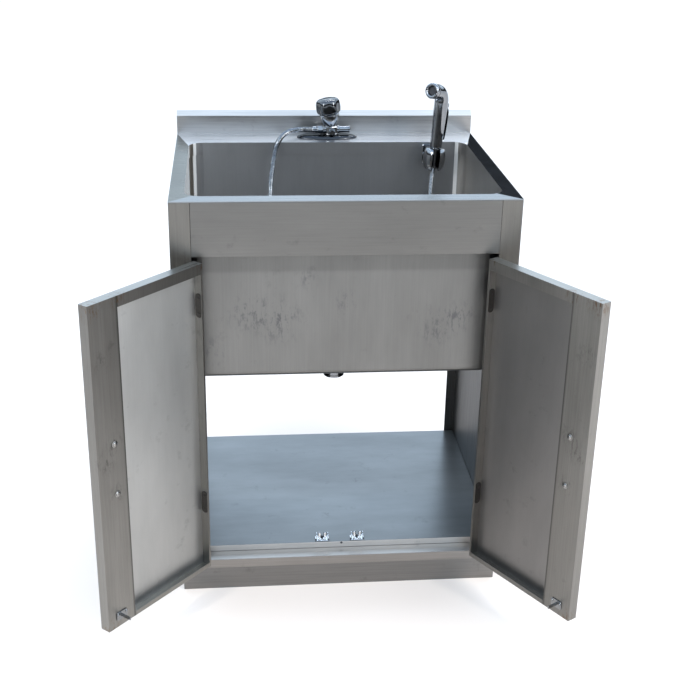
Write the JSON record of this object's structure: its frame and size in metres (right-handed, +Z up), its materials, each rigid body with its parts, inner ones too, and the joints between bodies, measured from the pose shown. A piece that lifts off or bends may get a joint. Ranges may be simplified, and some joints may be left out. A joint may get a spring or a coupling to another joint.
{
  "type": "portable handwash sink",
  "caption": "Stainless cabinet sink with a deep bowl, low backsplash, knob tap with hose and hand spray, hinged doors and a raised bottom shelf.",
  "frame": {"origin": "on the ground, in the middle of the underside of the plinth's front rail", "axes": "+Z up, +Y to the back of the cabinet, +X to the right seen from the front"},
  "size_m": [0.8703, 0.7657, 0.9285],
  "materials": {
    "sheet": "brushed sheet",
    "bright": "polished",
    "hose_steel": "wound strip",
    "seal": "matt"
  },
  "bodies": {
    "cabinet": {"sink_top": "sheet", "sink_bowl": "sheet", "front_apron": "sheet", "side_panel_left": "sheet", "side_panel_right": "sheet", "base_front_rail": "sheet", "base_rear_rail": "sheet", "bottom_shelf": "sheet", "plinth_front": "sheet", "plinth_back": "sheet", "plinth_left": "sheet", "plinth_right": "sheet", "rear_top_rail": "sheet", "drain_flange": "bright", "drain_gasket": "seal", "drain_locknut": "bright", "drain_slip_nut": "bright", "drain_tailpiece": "bright", "left_upper_hinge_frame_leaf": "sheet", "left_lower_hinge_frame_leaf": "sheet", "right_upper_hinge_frame_leaf": "sheet", "right_lower_hinge_frame_leaf": "sheet", "left_catch_body": "bright", "right_catch_body": "bright", "tap_base_plate": "bright", "tap_body": "bright", "tap_backnut": "bright", "tap_hose_nut": "bright", "spray_holder": "bright", "hose": "hose_steel"},
    "drain_basket": {"drain_basket": "bright"},
    "tap_knob": {"tap_knob": "bright"},
    "hand_spray": {"spray_body": "bright", "spray_nozzle": "bright", "spray_rose": "seal", "spray_hose_nut": "bright"},
    "spray_lever": {"spray_lever": "bright"},
    "left_door": {"left_door_tray": "sheet", "left_door_handle": "bright", "left_handle_screw_low": "bright", "left_handle_screw_high": "bright", "left_door_strike": "bright", "left_upper_hinge_door_leaf": "sheet", "left_lower_hinge_door_leaf": "sheet"},
    "right_door": {"right_door_tray": "sheet", "right_door_handle": "bright", "right_handle_screw_low": "bright", "right_handle_screw_high": "bright", "right_door_strike": "bright", "right_upper_hinge_door_leaf": "sheet", "right_lower_hinge_door_leaf": "sheet"},
    "left_catch_left_roller": {"left_catch_left_roller": "bright"},
    "left_catch_right_roller": {"left_catch_right_roller": "bright"},
    "right_catch_left_roller": {"right_catch_left_roller": "bright"},
    "right_catch_right_roller": {"right_catch_right_roller": "bright"}
  },
  "joints": [
    {"name": "left_door_hinge", "type": "hinge", "parent": "cabinet", "child": "left_door", "pos_m": [-0.2735, -0.019, 0.41], "axis": [0, 0, -1], "range_deg": [-131.5, 40.5]},
    {"name": "right_door_hinge", "type": "hinge", "parent": "cabinet", "child": "right_door", "pos_m": [0.2735, -0.019, 0.41], "axis": [0, 0, 1], "range_deg": [-121.5, 50.5]},
    {"name": "tap_knob_turn", "type": "hinge", "parent": "cabinet", "child": "tap_knob", "pos_m": [0.0095, 0.457, 0.8125], "axis": [-0.1564, 0, 0.9877], "range_deg": [0, 270]},
    {"name": "spray_lift", "type": "slide", "parent": "cabinet", "child": "hand_spray", "axis": [0.0767, 0, 0.9971], "range_m": [0, 0.08]},
    {"name": "spray_trigger", "type": "hinge", "parent": "hand_spray", "child": "spray_lever", "pos_m": [0.23721, 0.39342, 0.87635], "axis": [-0.7282, 0.6831, 0.056], "range_deg": [0, 3.5], "stiffness_Nm_per_rad": 2, "springref_deg": -2.86},
    {"name": "drain_basket_lift", "type": "slide", "parent": "cabinet", "child": "drain_basket", "axis": [0, 0, 1], "range_m": [0, 0.12]},
    {"name": "left_catch_left_roller_spring", "type": "slide", "parent": "cabinet", "child": "left_catch_left_roller", "axis": [-1, 0, 0], "range_m": [0, 0.0015], "stiffness_N_per_m": 400},
    {"name": "left_catch_right_roller_spring", "type": "slide", "parent": "cabinet", "child": "left_catch_right_roller", "axis": [1, 0, 0], "range_m": [0, 0.0015], "stiffness_N_per_m": 400},
    {"name": "right_catch_left_roller_spring", "type": "slide", "parent": "cabinet", "child": "right_catch_left_roller", "axis": [-1, 0, 0], "range_m": [0, 0.0015], "stiffness_N_per_m": 400},
    {"name": "right_catch_right_roller_spring", "type": "slide", "parent": "cabinet", "child": "right_catch_right_roller", "axis": [1, 0, 0], "range_m": [0, 0.0015], "stiffness_N_per_m": 400}
  ]
}
